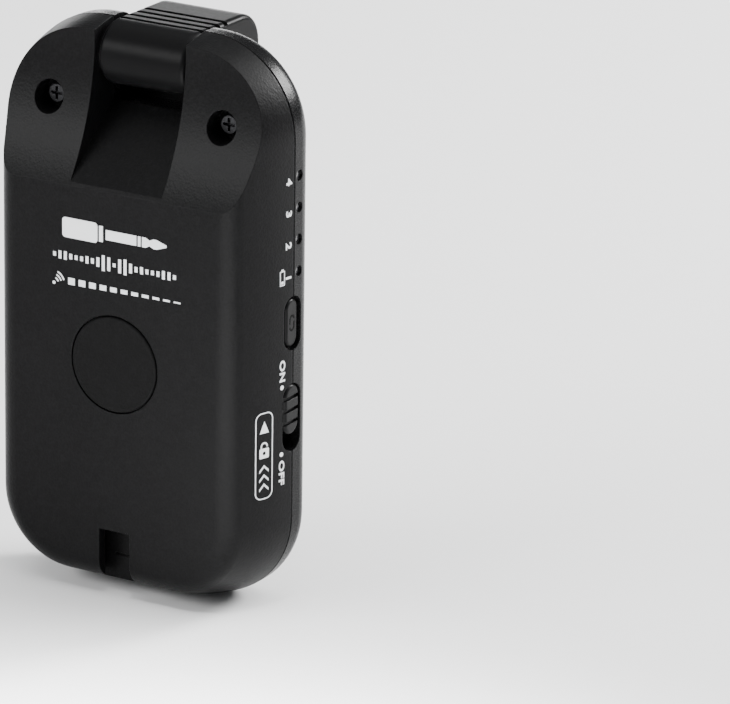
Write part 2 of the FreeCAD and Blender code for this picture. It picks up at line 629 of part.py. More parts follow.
# ---------------------------------------------------------------- jack plug
PLUG = ("0", "plug_y", "0")
SHANK_TOP = "collar_z + shank_length"
ROD_TOP = "collar_z + rod_stub"
plug_collar = turned("plug_collar", [
    ("shank_radius", "collar_z"), ("collar_radius - 0.2", "collar_z"),
    ("collar_radius", "collar_z + 0.2"), ("collar_radius", "arm_bottom_z - 0.2"),
    ("collar_radius - 0.2", "arm_bottom_z"), ("shank_radius", "arm_bottom_z")], PLUG)
plug_sleeve = turned("plug_sleeve", [
    ("liner_radius", "sleeve_end_z"), ("plug_radius", "sleeve_end_z"),
    ("plug_radius", "collar_z"), ("shank_radius", "collar_z"), ("shank_radius", SHANK_TOP),
    ("liner_radius", SHANK_TOP)], PLUG)
plug_liner = turned("plug_liner", [
    ("rod_radius", "sleeve_end_z"), ("liner_radius", "sleeve_end_z"),
    ("liner_radius", f"{SHANK_TOP} + 0.5"), ("rod_radius", f"{SHANK_TOP} + 0.5")], PLUG)
plug_ring = turned("plug_ring", [
    ("rod_radius", "plug_end_z + tip_length"), ("plug_radius", "plug_end_z + tip_length"),
    ("plug_radius", "sleeve_end_z"), ("rod_radius", "sleeve_end_z")], PLUG)
plug_rod = turned("plug_rod", [
    ("0", "plug_end_z + tip_length"), ("rod_radius", "plug_end_z + tip_length"),
    ("rod_radius", ROD_TOP), ("0", ROD_TOP)], PLUG)


def tip_shape():
    """Turned tip: a nose cone, a round bulge, a hollow waist and a full-width root."""
    full, length = value("plug_radius"), value("tip_length")

    def at(radius, share):
        return Vector(radius * full, 0, share * length)

    nose, nose_side, nose_end = at(0, 0), at(0.2, 0.012), at(0.33, 0.06)
    cone_end, bulge, bulge_end = at(0.86, 0.36), at(0.97, 0.44), at(0.88, 0.53)
    waist, waist_end, root = at(0.70, 0.67), at(0.80, 0.81), at(1, 0.92)
    edges = [Part.Arc(nose, nose_side, nose_end).toShape(),
             Part.LineSegment(nose_end, cone_end).toShape(),
             Part.Arc(cone_end, bulge, bulge_end).toShape(),
             Part.Arc(bulge_end, waist, waist_end).toShape(),
             Part.LineSegment(waist_end, root).toShape(),
             Part.LineSegment(root, at(1, 1)).toShape(),
             Part.LineSegment(at(1, 1), at(0, 1)).toShape(),
             Part.LineSegment(at(0, 1), nose).toShape()]
    face = Part.Face(Part.Wire(edges))
    solid = face.revolve(Vector(0, 0, 0), Vector(0, 0, 1), 360)
    solid.translate(Vector(0, value("plug_y"), value("plug_end_z")))
    return solid


plug_tip = shaped("plug_tip", tip_shape())
plug_tags = group("plug_tags", [
    block("sleeve_tag", ("-sleeve_tag_width / 2", "plug_y - liner_radius - tag_thickness - fit_gap",
                         SHANK_TOP),
          ("sleeve_tag_width", "tag_thickness", "sleeve_tag_length")),
    block("tip_tag", ("-tip_tag_width / 2", "plug_y - tag_thickness / 2", ROD_TOP),
          ("tip_tag_width", "tag_thickness", "tip_tag_length"))])


def lead(name, points):
    """Lead through places given as formulas."""
    return shaped(name, tube([[value(text) for text in point] for point in points],
                             value("lead_radius")))


TAG_Z = f"{ROD_TOP} + tip_tag_length"
arm_leads = group("arm_leads", [
    lead("arm_lead_tip", [("0.55", "plug_y", TAG_Z), ("0.55", "plug_y", "hinge_height"),
                          ("0.55", "part_y", "hinge_height")]),
    lead("arm_lead_sleeve", [("-0.55", "plug_y - liner_radius - 0.3", TAG_Z),
                             ("-0.55", "plug_y - liner_radius - 0.3", "hinge_height"),
                             ("-0.55", "part_y", "hinge_height")])])
body_leads = group("body_leads", [
    lead(f"body_lead_{name}", [
        ("-1.2", side, "hinge_height"), ("7.4 - half_width", side, "hinge_height"),
        ("5.3 - half_width", side, "hinge_height - 1.3"),
        ("3.2 - half_width", side, "screw_height"), ("3.6 - half_width", side, "board_top + 2"),
        (end_x, "board_y - lead_radius", "board_top - 0.6")])
    for name, side, end_x in (("tip", "part_y + lead_radius + 0.02", "4.0 - half_width"),
                              ("sleeve", "part_y - lead_radius - 0.02", "5.2 - half_width"))])

# ---------------------------------------------------------------- side controls
BUTTON = ("flange_back_x", "part_y", "button_height")
button_cap = pill("button_cap", "button_width", "button_length",
                  "half_width - dish_depth + button_rise - flange_back_x", BUTTON)
button_flange = pill("button_flange", "button_width + 2 * flange_margin",
                     "button_length + 2 * flange_margin", "flange_thickness", BUTTON)
button_blank = fuse("button_blank", [button_cap, button_flange])
BUTTON_FACE = "half_width - dish_depth + button_rise"


def on_face(x):
    """Test for edges that lie in one plane across X."""
    def test(edge):
        box = edge.BoundBox
        return abs(box.XMin - value(x)) < 0.01 and abs(box.XMax - value(x)) < 0.01
    return test


link_button = rounded("link_button", button_blank, "button_edge", on_face(BUTTON_FACE))
tact_plunger = rod("tact_plunger", "plunger_radius", "flange_back_x - case_face_x + 0.9",
                   ("case_face_x - 0.9", "part_y", "button_height"), "X")
tact_switch = cut("tact_switch",
                  block("tact_case", ("case_face_x - case_length", "part_y - case_depth / 2",
                                      "button_height - tact_height / 2"),
                        ("case_length", "case_depth", "tact_height")),
                  [rod("tact_bore", "plunger_radius + fit_gap", "1.5",
                       ("case_face_x - 1.5", "part_y", "button_height"), "X")])

KNOB = ("flange_back_x", "part_y", "knob_z")
KNOB_FACE = "half_width - knob_inset"
knob_cap = pill("knob_cap", "switch_width - 2 * control_gap", "knob_length",
                f"{KNOB_FACE} - (flange_back_x)", KNOB)
knob_flange = block("knob_flange", ("flange_back_x", "part_y - switch_width / 2 - flange_margin",
                                    "knob_z - switch_length / 2 - switch_travel"),
                    ("flange_thickness", "switch_width + 2 * flange_margin",
                     "switch_length + 2 * switch_travel"))
knob_blank = rounded("knob_blank", fuse("knob_joined", [knob_cap, knob_flange]), "knob_edge",
                     on_face(KNOB_FACE))
knob_grooves = [block(f"knob_groove_{i}", (f"{KNOB_FACE} - knob_groove", "part_y - switch_width / 2",
                                           f"knob_z + {i} * knob_pitch - knob_groove / 2"),
                      ("1", "switch_width", "knob_groove")) for i in (-1, 0, 1)]
switch_knob = cut("switch_knob", knob_blank, knob_grooves)
slide_switch_lever = block("slide_switch_lever",
                           ("case_face_x - 1.2", "part_y - lever_size / 2",
                            "knob_z - lever_size / 2"),
                           ("flange_back_x - case_face_x + 1.2", "lever_size", "lever_size"))
slide_switch_case = cut("slide_switch_case",
                        block("slide_case", ("case_face_x - case_length",
                                             "part_y - case_depth / 2",
                                             "switch_height - case_height / 2"),
                              ("case_length", "case_depth", "case_height")),
                        [block("slide_window", ("case_face_x - 1.5",
                                                "part_y - lever_size / 2 - fit_gap",
                                                "switch_height - switch_travel / 2"
                                                " - lever_size / 2 - fit_gap"),
                               ("2", "lever_size + 2 * fit_gap",
                                "switch_travel + lever_size + 2 * fit_gap"))])

# ---------------------------------------------------------------- board, lights and power
main_pcb = padded("main_board", [
    ("board_corner - board_width / 2", "board_bottom"),
    ("board_width / 2 - board_corner", "board_bottom"),
    ("board_width / 2", "board_bottom + board_corner"), ("board_width / 2", "board_top"),
    ("-board_width / 2", "board_top"), ("-board_width / 2", "board_bottom + board_corner")],
    "board_thickness", ("0", "board_y + board_thickness / 2", "0"), "XZ_Plane")
LIGHT_Y = "part_y + light_back"
PIPE_X = "case_face_x - 0.3"
light_rods = [rod(f"light_rod_{i}", "light_radius - light_gap",
                  "half_width - light_recess - case_face_x",
                  ("case_face_x", LIGHT_Y, f"light_first - {i} * light_pitch"), "X")
              for i in range(4)]
light_bar = block("light_bar", ("case_face_x", "board_y - light_bar_depth - light_gap",
                                "light_first - 3 * light_pitch - led_length / 2 - fit_gap"),
                  ("light_bar_width", "light_bar_depth",
                   "3 * light_pitch + led_length + 2 * fit_gap"))
light_pipe = fuse("light_pipe", light_rods + [light_bar])
indicator_leds = group("indicator_leds", [
    block(f"led_{i}", (f"{PIPE_X} - led_width", "board_y - led_depth",
                       f"light_first - {i} * light_pitch - led_length / 2"),
          ("led_width", "led_depth", "led_length")) for i in range(4)])

battery_cell = block("battery_cell", ("battery_x - battery_width / 2",
                                      "battery_back_y - battery_thickness", "battery_bottom"),
                     ("battery_width", "battery_thickness", "battery_length"))
battery = rounded("battery", battery_cell, "1.2", along("Z"))
battery_foam = block("battery_foam", ("battery_x - battery_width / 3", "battery_back_y",
                                      "battery_bottom + 3"),
                     ("battery_width * 2 / 3", "foam_thickness", "battery_length - 6"))
CONNECTOR_Z = "battery_bottom + battery_length + 4"
battery_connector = block("battery_connector", ("battery_x - connector_width / 2",
                                                "board_y - connector_depth", CONNECTOR_Z),
                          ("connector_width", "connector_depth", "connector_height"))
LEAD_Y = "battery_back_y - battery_thickness / 2"
PLUG_IN_Y = "board_y - connector_depth / 2"
battery_leads = group("battery_leads", [
    lead(f"battery_lead_{name}", [
        (f"battery_x + {x}", LEAD_Y, "battery_bottom + battery_length"),
        (f"battery_x + {x}", LEAD_Y, f"{CONNECTOR_Z} - 2.2"),
        (f"battery_x + {x}", PLUG_IN_Y, f"{CONNECTOR_Z} - 1.8"),
        (f"battery_x + {x}", PLUG_IN_Y, CONNECTOR_Z)])
    for name, x in (("plus", "1.1"), ("minus", "-1.1"))])

PORT = ("port_inset - half_width", "port_y", "port_height")
port_outer = pill("port_outer", "port_depth", "port_width", "port_length", PORT)
port_inner = pill("port_inner", "port_depth - 2 * port_wall", "port_width - 2 * port_wall",
                  "port_length - port_wall", PORT)
usb_port = cut("usb_port", port_outer, [port_inner])
usb_tongue = block("usb_tongue", ("port_inset - half_width + 1", "port_y - tongue_thickness / 2",
                                  "port_height - port_width / 2 + tongue_margin"),
                   ("port_length - port_wall - 1", "tongue_thickness",
                    "port_width - 2 * tongue_margin"))
BACK = "board_back_y"
CAN_X, CAN_Z = "-9", "36"
rf_shield = cut("rf_shield", block("rf_can", (CAN_X, BACK, CAN_Z),
                                   ("can_size", "can_height", "can_size")),
                [block("rf_can_inside", (f"{CAN_X} + can_wall", BACK, f"{CAN_Z} + can_wall"),
                       ("can_size - 2 * can_wall", "can_height - can_wall",
                        "can_size - 2 * can_wall"))])
radio_chip = block("radio_chip", (f"{CAN_X} + 4", BACK, f"{CAN_Z} + 4"), ("6", "0.6", "6"))
control_chips = group("control_chips", [
    block(f"chip_{i}", (x, BACK, z), (size, "0.85", size))
    for i, (x, z, size) in enumerate([("-9", "20", "7"), ("2", "21", "5"), ("3", "12.5", "3.2")])])
antenna = block("antenna", ("-10", "board_y - 1.0", "board_top - 3"), ("8", "1.0", "1.6"))

# ---------------------------------------------------------------- nodes
NODES = {
    "front_shell": front_shell, "rear_shell": rear_shell, "round_pad": round_pad,
    "housing_screws": housing_screws, "hinge_pin_left": hinge_pin_left,
    "hinge_pin_right": hinge_pin_right, "hinge_washers": hinge_washers,
    "arm_housing": arm_housing, "arm_cover": arm_cover, "arm_screws": arm_screws,
    "plug_collar": plug_collar, "plug_sleeve": plug_sleeve, "plug_liner": plug_liner,
    "plug_ring": plug_ring, "plug_rod": plug_rod, "plug_tip": plug_tip, "plug_tags": plug_tags,
    "arm_leads": arm_leads, "body_leads": body_leads, "link_button": link_button,
    "tact_plunger": tact_plunger, "tact_switch": tact_switch, "switch_knob": switch_knob,
    "slide_switch_lever": slide_switch_lever, "slide_switch_case": slide_switch_case,
    "main_pcb": main_pcb, "light_pipe": light_pipe, "indicator_leds": indicator_leds,
    "battery": battery, "battery_foam": battery_foam, "battery_connector": battery_connector,
    "battery_leads": battery_leads, "usb_port": usb_port, "usb_tongue": usb_tongue,
    "rf_shield": rf_shield, "radio_chip": radio_chip, "control_chips": control_chips,
    "antenna": antenna,
}
doc.recompute()
for item in doc.Objects:
    if "Invalid" in item.State or "Error" in item.State:
        raise RuntimeError(f"{item.Label} did not build: {item.State}")
for name, item in NODES.items():
    item.Label = name
    shape = item.Shape
    if shape.isNull() or not shape.isValid() or not shape.Solids:
        raise RuntimeError(f"{name} is not a sound solid")
for name, item in NODES.items():
    item.Shape.exportStep(f"parts/{name}.step")
    print(f"{name}: {len(item.Shape.Solids)} solid(s), {item.Shape.Volume:.1f} mm3")
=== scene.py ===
"""Looks of a pocket wireless guitar transmitter with a folding jack plug.

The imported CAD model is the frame: every CAD node keeps its place and gets a finish, and thin
printed marks and small trim are added as meshes worked out with numpy.  All lengths are in
metres, X to the right, Y to the back, Z up.
"""
import logging
import math
from dataclasses import dataclass, field
from enum import Enum

import bpy
import numpy as np
from mathutils import Matrix, Vector


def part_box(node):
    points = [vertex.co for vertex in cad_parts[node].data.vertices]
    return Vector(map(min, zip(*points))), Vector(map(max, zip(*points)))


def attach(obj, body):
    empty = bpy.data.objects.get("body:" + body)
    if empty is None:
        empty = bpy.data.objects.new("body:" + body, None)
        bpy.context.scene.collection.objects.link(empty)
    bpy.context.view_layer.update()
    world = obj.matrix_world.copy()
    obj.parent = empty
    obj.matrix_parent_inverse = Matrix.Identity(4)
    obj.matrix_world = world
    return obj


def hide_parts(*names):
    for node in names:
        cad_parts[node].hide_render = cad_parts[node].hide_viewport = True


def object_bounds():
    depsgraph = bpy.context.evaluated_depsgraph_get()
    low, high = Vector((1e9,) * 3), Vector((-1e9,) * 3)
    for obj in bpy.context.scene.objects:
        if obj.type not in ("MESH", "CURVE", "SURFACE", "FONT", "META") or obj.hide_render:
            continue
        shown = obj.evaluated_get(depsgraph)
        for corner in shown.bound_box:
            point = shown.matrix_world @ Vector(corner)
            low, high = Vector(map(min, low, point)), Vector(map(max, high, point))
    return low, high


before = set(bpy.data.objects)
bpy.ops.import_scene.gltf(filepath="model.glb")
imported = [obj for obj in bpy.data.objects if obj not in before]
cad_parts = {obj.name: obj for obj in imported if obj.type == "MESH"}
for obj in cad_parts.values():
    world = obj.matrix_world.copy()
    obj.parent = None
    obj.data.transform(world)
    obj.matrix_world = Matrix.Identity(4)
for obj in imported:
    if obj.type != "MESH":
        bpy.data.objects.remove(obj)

MM = 0.001
CAD_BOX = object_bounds()
LOG = logging.getLogger("transmitter")
# The Mix node's colour sockets share their names with its other types' sockets.
MIX_COLOUR_A, MIX_COLOUR_B, MIX_COLOUR_OUT = 6, 7, 2
BUMP_STRENGTH = 0.8
COAT_ROUGHNESS = 0.2
# How far the roughness drifts to each side of its middle value.
ROUGHNESS_DRIFT = 0.07
# Size of the slow blobs by which the colour drifts.
MOTTLE_SIZE = 4 * MM
# Height of a capital letter as a share of the built-in typeface's size.
CAPITAL_SHARE = 0.69


# ---------------------------------------------------------------- finishes
class Relief(Enum):
    """How a finish's fine surface relief is drawn."""

    SPARK = "spark"        # spark-eroded mould: fine even pits
    SATIN = "satin"        # smooth moulding with a soft ripple
    TURNED = "turned"      # rings left by a lathe along the plug's own axis
    FOAM = "foam"          # open speckle of a soft pad
    WOVEN = "woven"        # glass cloth under solder mask


@dataclass(frozen=True)
class Finish:
    """One surface finish, drawn on Object coordinates at its real scale.

    Attributes:
        name: name of the finish, and of the record's slot where it has one.
        colour: linear base colour.
        roughness: middle roughness.
        relief: kind of fine surface relief.
        grain: size of one grain, in metres.
        depth: height of the relief, in metres.
        mottle: share by which the colour drifts over a few millimetres.
        metallic: 1 for metal.
        coat: clear-coat weight.
        specular: specular level.
        speckle: share of the colour drift that follows the fine relief.
        edge: radius by which the light sees sharp edges rounded, in metres.
    """

    name: str
    colour: tuple[float, float, float]
    roughness: float
    relief: Relief = Relief.SATIN
    grain: float = 0.12 * MM
    depth: float = 0.006 * MM
    mottle: float = 0.12
    metallic: float = 0.0
    coat: float = 0.0
    specular: float = 0.5
    speckle: float = 0.0
    edge: float = 0.12 * MM

    def material(self) -> bpy.types.Material:
        """Build the finish's node material.

        Returns:
            The material, with colour drift, roughness drift and bump from noise.
        """
        # The frame's own plain materials already hold the slots' names.
        look = f"{self.name}_look"
        known = bpy.data.materials.get(look)
        if known:
            return known
        mat = bpy.data.materials.new(look)
        mat.use_nodes = True
        nodes, links = mat.node_tree.nodes, mat.node_tree.links
        shader = nodes["Principled BSDF"]
        shader.inputs["Metallic"].default_value = self.metallic
        shader.inputs["Specular IOR Level"].default_value = self.specular
        shader.inputs["Coat Weight"].default_value = self.coat
        shader.inputs["Coat Roughness"].default_value = COAT_ROUGHNESS
        place = nodes.new("ShaderNodeTexCoord").outputs["Object"]

        grain = self._relief(nodes, links, place)
        drift = nodes.new("ShaderNodeMix")
        drift.inputs["Factor"].default_value = self.speckle
        links.new(self._noise(nodes, links, place, MOTTLE_SIZE, 3), drift.inputs["A"])
        links.new(grain, drift.inputs["B"])
        tint = nodes.new("ShaderNodeMix")
        tint.data_type = "RGBA"
        links.new(drift.outputs["Result"], tint.inputs[0])
        spread = self.mottle + self.speckle
        low, high = max(1 - spread, 0), 1 + spread
        tint.inputs[MIX_COLOUR_A].default_value = (*(c * low for c in self.colour), 1)
        tint.inputs[MIX_COLOUR_B].default_value = (*(min(c * high, 1) for c in self.colour), 1)
        links.new(tint.outputs[MIX_COLOUR_OUT], shader.inputs["Base Color"])

        rough = nodes.new("ShaderNodeMapRange")
        links.new(grain, rough.inputs["Value"])
        rough.inputs["To Min"].default_value = max(self.roughness - ROUGHNESS_DRIFT, 0.02)
        rough.inputs["To Max"].default_value = min(self.roughness + ROUGHNESS_DRIFT, 1)
        links.new(rough.outputs["Result"], shader.inputs["Roughness"])

        rounded = nodes.new("ShaderNodeBevel")
        rounded.samples = 6
        rounded.inputs["Radius"].default_value = self.edge
        bump = nodes.new("ShaderNodeBump")
        links.new(rounded.outputs["Normal"], bump.inputs["Normal"])
        bump.inputs["Strength"].default_value = BUMP_STRENGTH
        bump.inputs["Distance"].default_value = self.depth
        links.new(grain, bump.inputs["Height"])
        links.new(bump.outputs["Normal"], shader.inputs["Normal"])
        return mat

    @staticmethod
    def _noise(nodes: bpy.types.Nodes, links: bpy.types.NodeLinks, place: bpy.types.NodeSocket,
               size: float, detail: float) -> bpy.types.NodeSocket:
        """Noise whose blobs are about one size across.

        Args:
            nodes: the material's nodes.
            links: the material's links.
            place: coordinates, in metres.
            size: how wide one blob is, in metres.
            detail: how many finer layers it has.

        Returns:
            The socket that holds the noise, from 0 to 1.
        """
        noise = nodes.new("ShaderNodeTexNoise")
        noise.inputs["Scale"].default_value = 0.5 / size
        noise.inputs["Detail"].default_value = detail
        links.new(place, noise.inputs["Vector"])
        return noise.outputs["Fac"]

    def _relief(self, nodes: bpy.types.Nodes, links: bpy.types.NodeLinks,
                place: bpy.types.NodeSocket) -> bpy.types.NodeSocket:
        """Height of the fine relief, from 0 to 1.

        Args:
            nodes: the material's nodes.
            links: the material's links.
            place: Object coordinates.

        Returns:
            The socket that holds the height.
        """
        if self.relief in (Relief.SPARK, Relief.FOAM):
            cells = nodes.new("ShaderNodeTexVoronoi")
            cells.inputs["Scale"].default_value = 1 / self.grain
            links.new(place, cells.inputs["Vector"])
            fine = self._noise(nodes, links, place, self.grain, 2)
            blend = nodes.new("ShaderNodeMix")
            blend.inputs["Factor"].default_value = 0.5
            links.new(cells.outputs["Distance"], blend.inputs["A"])
            links.new(fine, blend.inputs["B"])
            return blend.outputs["Result"]
        if self.relief is Relief.SATIN:
            return self._noise(nodes, links, place, self.grain, 4)
        if self.relief is Relief.TURNED:
            stretch = nodes.new("ShaderNodeMapping")
            stretch.inputs["Scale"].default_value = (0.05, 0.05, 1)
            links.new(place, stretch.inputs["Vector"])
            return self._noise(nodes, links, stretch.outputs["Vector"], self.grain, 2)
        wave = nodes.new("ShaderNodeTexWave")
        wave.bands_direction = "DIAGONAL"
        wave.inputs["Scale"].default_value = 0.3 / self.grain
        links.new(place, wave.inputs["Vector"])
        return wave.outputs["Fac"]


SHELL = Finish("shell_black", (0.0036, 0.0036, 0.0038), 0.38, Relief.SPARK, 0.30 * MM, 0.034 * MM,
               specular=0.08, speckle=0.8)
REAR = Finish("shell_black_satin", (0.0038, 0.0038, 0.0040), 0.27, Relief.SPARK, 0.24 * MM,
              0.020 * MM, specular=0.07, speckle=0.6)
ARM = Finish("arm_black", (0.0042, 0.0042, 0.0044), 0.36, Relief.SATIN, 0.25 * MM, 0.006 * MM,
             specular=0.05)
PAD = Finish("pad_black", (0.0032, 0.0032, 0.0033), 0.62, Relief.FOAM, 0.30 * MM, 0.060 * MM,
             specular=0.07, speckle=0.9)
CONTROL = Finish("button_black", (0.0030, 0.0030, 0.0032), 0.36, Relief.SPARK, 0.20 * MM,
                 0.010 * MM, specular=0.08, speckle=0.3)
SCREW = Finish("screw_black", (0.030, 0.030, 0.032), 0.40, Relief.SATIN, 0.1 * MM, 0.004 * MM,
               metallic=0.7, specular=0.2, edge=0.08 * MM)
STEEL = Finish("steel", (0.50, 0.50, 0.51), 0.32, Relief.SATIN, 0.08 * MM, 0.003 * MM,
               metallic=1.0)
NICKEL = Finish("plug_nickel", (0.72, 0.70, 0.66), 0.16, Relief.TURNED, 0.05 * MM, 0.0015 * MM,
                0.03, metallic=1.0)
BRASS = Finish("brass", (0.60, 0.42, 0.20), 0.34, Relief.SATIN, 0.1 * MM, 0.004 * MM,
               metallic=1.0)
WASHER = Finish("washer_black", (0.006, 0.006, 0.006), 0.5, specular=0.15)
INSULATOR = Finish("insulator", (0.014, 0.014, 0.014), 0.35)
JACKET = Finish("lead_jacket", (0.30, 0.015, 0.012), 0.42, Relief.SATIN, 0.3 * MM)
MASK = Finish("board_green", (0.012, 0.085, 0.035), 0.3, Relief.WOVEN, 0.25 * MM, 0.004 * MM,
              coat=0.5)
SMOKE = Finish("light_smoke", (0.030, 0.030, 0.032), 0.16, Relief.SATIN, 0.2 * MM, 0.002 * MM,
               0.03, coat=0.8)
LENS = Finish("light_white", (0.80, 0.82, 0.86), 0.28, Relief.SATIN, 0.2 * MM, 0.003 * MM, 0.03,
              coat=0.4)
FOIL = Finish("battery_wrap", (0.34, 0.35, 0.38), 0.3, Relief.SATIN, 0.6 * MM, 0.02 * MM,
              metallic=0.8)
FOAM = Finish("foam", (0.03, 0.03, 0.032), 0.9, Relief.FOAM, 0.3 * MM, 0.05 * MM)
CREAM = Finish("connector_white", (0.70, 0.67, 0.58), 0.45)
CHIP = Finish("chip_black", (0.018, 0.018, 0.019), 0.55, Relief.SPARK, 0.08 * MM)
INK = Finish("print_white", (0.74, 0.75, 0.76), 0.55, Relief.SATIN, 0.06 * MM, 0.002 * MM, 0.05)
# Near-black, dull painted shade laid on the button as its loop, standing for the shade inside the
# loop's recess.
RECESS_SHADE = Finish("painted_recess_shade", (0.001, 0.001, 0.001), 0.6, Relief.SPARK, 0.1 * MM, specular=0.05)
FLOOR = Finish("floor_pale", (0.86, 0.86, 0.86), 0.75, Relief.SATIN, 2 * MM, 0.01 * MM, 0.01)

DRESS = {
    "front_shell": SHELL, "rear_shell": REAR, "round_pad": PAD, "housing_screws": SCREW,
    "hinge_pin_left": STEEL, "hinge_pin_right": STEEL, "hinge_washers": WASHER,
    "arm_housing": ARM, "arm_cover": ARM, "arm_screws": SCREW, "plug_collar": NICKEL,
    "plug_sleeve": NICKEL, "plug_liner": INSULATOR, "plug_ring": INSULATOR, "plug_rod": BRASS,
    "plug_tip": NICKEL, "plug_tags": BRASS, "arm_leads": JACKET, "body_leads": JACKET,
    "link_button": CONTROL, "tact_plunger": CONTROL, "tact_switch": STEEL,
    "switch_knob": CONTROL, "slide_switch_lever": INSULATOR, "slide_switch_case": STEEL,
    "main_pcb": MASK, "light_pipe": SMOKE, "indicator_leds": LENS, "battery": FOIL,
    "battery_foam": FOAM, "battery_connector": CREAM, "battery_leads": JACKET,
    "usb_port": STEEL, "usb_tongue": INSULATOR, "rf_shield": STEEL, "radio_chip": CHIP,
    "control_chips": CHIP, "antenna": CREAM,
}


def dress(obj: bpy.types.Object, finish: Finish) -> None:
    """Give an object one finish all over.

    Args:
        obj: the object, whose old materials are dropped.
        finish: its new finish.
    """
    obj.data.materials.clear()
    obj.data.materials.append(finish.material())


# ---------------------------------------------------------------- mesh making
def make_piece(name: str, points: np.ndarray, faces: list, finish: Finish,
               body: str) -> bpy.types.Object:
    """Put a mesh in the scene as a piece that rides on a body.

    Args:
        name: the piece's name.
        points: corners, one row each, in metres.
        faces: corner numbers of each face, turning anticlockwise seen from outside.
        finish: its finish.
        body: the CAD body that it moves with.

    Returns:
        The new object.
    """
    mesh = bpy.data.meshes.new(name)
    mesh.from_pydata(points.tolist(), [], faces)
    mesh.update()
    obj = bpy.data.objects.new(name, mesh)
    bpy.context.scene.collection.objects.link(obj)
    dress(obj, finish)
    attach(obj, body)
    LOG.info("%s: %d corners on %s", name, len(points), body)
    return obj


def grid_faces(rows: int, columns: int) -> list:
    """Four-cornered faces of a grid whose columns close into a ring.

    Args:
        rows: how many rings of corners there are.
        columns: how many corners each ring has.

    Returns:
        The corner numbers of each face.
    """
    i, j = np.meshgrid(np.arange(rows - 1), np.arange(columns), indexing="ij")
    k = (j + 1) % columns
    quads = np.stack([i * columns + j, i * columns + k, (i + 1) * columns + k,
                      (i + 1) * columns + j], axis=-1)
    return quads.reshape(-1, 4).tolist()


def turned(name: str, profile: np.ndarray, centre: tuple[float, float, float], axes: np.ndarray,
           finish: Finish, body: str, around: int = 96) -> bpy.types.Object:
    """Solid of revolution that ends on its axis at both ends.

    A ring at (radius r, height h) is centre + h * axis + r * (cos a * first + sin a * second).

    Args:
        name: the piece's name.
        profile: rows of (radius, height) from the lower pole to the upper one, poles left out.
        centre: a point on the axis.
        axes: three rows: first, second and the axis, right-handed.
        finish: its finish.
        body: the CAD body that it moves with.
        around: corners in a ring.

    Returns:
        The new object.
    """
    angle = np.linspace(0, 2 * np.pi, around, endpoint=False)
    ring = np.cos(angle)[:, None] * axes[0] + np.sin(angle)[:, None] * axes[1]
    rows = profile[:, 0, None, None] * ring[None] + profile[:, 1, None, None] * axes[2]
    points = rows.reshape(-1, 3) + np.asarray(centre)
    ends = np.asarray(centre) + profile[[0, -1], 1, None] * axes[2]
    last = len(points)
    faces = grid_faces(len(profile), around)
    top = last - around
    faces += [[last, (j + 1) % around, j] for j in range(around)]
    faces += [[last + 1, top + j, top + (j + 1) % around] for j in range(around)]
    obj = make_piece(name, np.vstack([points, ends]), faces, finish, body)
    obj.data.shade_smooth()
    return obj


class Outline:
    """Closed outlines of flat marks about (u, v), as rows of (u, v) in millimetres."""

    @staticmethod
    def box(u: float, v: float, width: float, height: float) -> np.ndarray:
        """Rectangle about its middle."""
        corner = np.array([(-1, -1), (1, -1), (1, 1), (-1, 1)]) / 2
        return corner * (width, height) + (u, v)

    @staticmethod
    def round_box(u: float, v: float, width: float, height: float, radius: float,
                  steps: int = 8) -> np.ndarray:
        """Rectangle with arcs for corners: each arc's centre plus a quarter turn."""
        turn = np.linspace(0, np.pi / 2, steps)
        start = np.arange(4)[:, None] * np.pi / 2
        angle = start + turn[None]
        side = np.array([(1, 1), (-1, 1), (-1, -1), (1, -1)])
        centre = side * (width / 2 - radius, height / 2 - radius)
        arc = np.stack([np.cos(angle), np.sin(angle)], axis=-1) * radius + centre[:, None]
        return arc.reshape(-1, 2) + (u, v)

    @staticmethod
    def disc(u: float, v: float, radius: float, steps: int = 28) -> np.ndarray:
        """Circle about its middle."""
        angle = np.linspace(0, 2 * np.pi, steps, endpoint=False)
        return np.stack([np.cos(angle), np.sin(angle)], axis=-1) * radius + (u, v)

    @staticmethod
    def band(u: float, v: float, inner: float, outer: float, first: float,
             last: float, steps: int = 20) -> np.ndarray:
        """Part of a ring, between a first and a last angle in degrees."""
        angle = np.radians(np.linspace(first, last, steps))
        rim = np.stack([np.cos(angle), np.sin(angle)], axis=-1)
        return np.vstack([rim * outer, rim[::-1] * inner]) + (u, v)


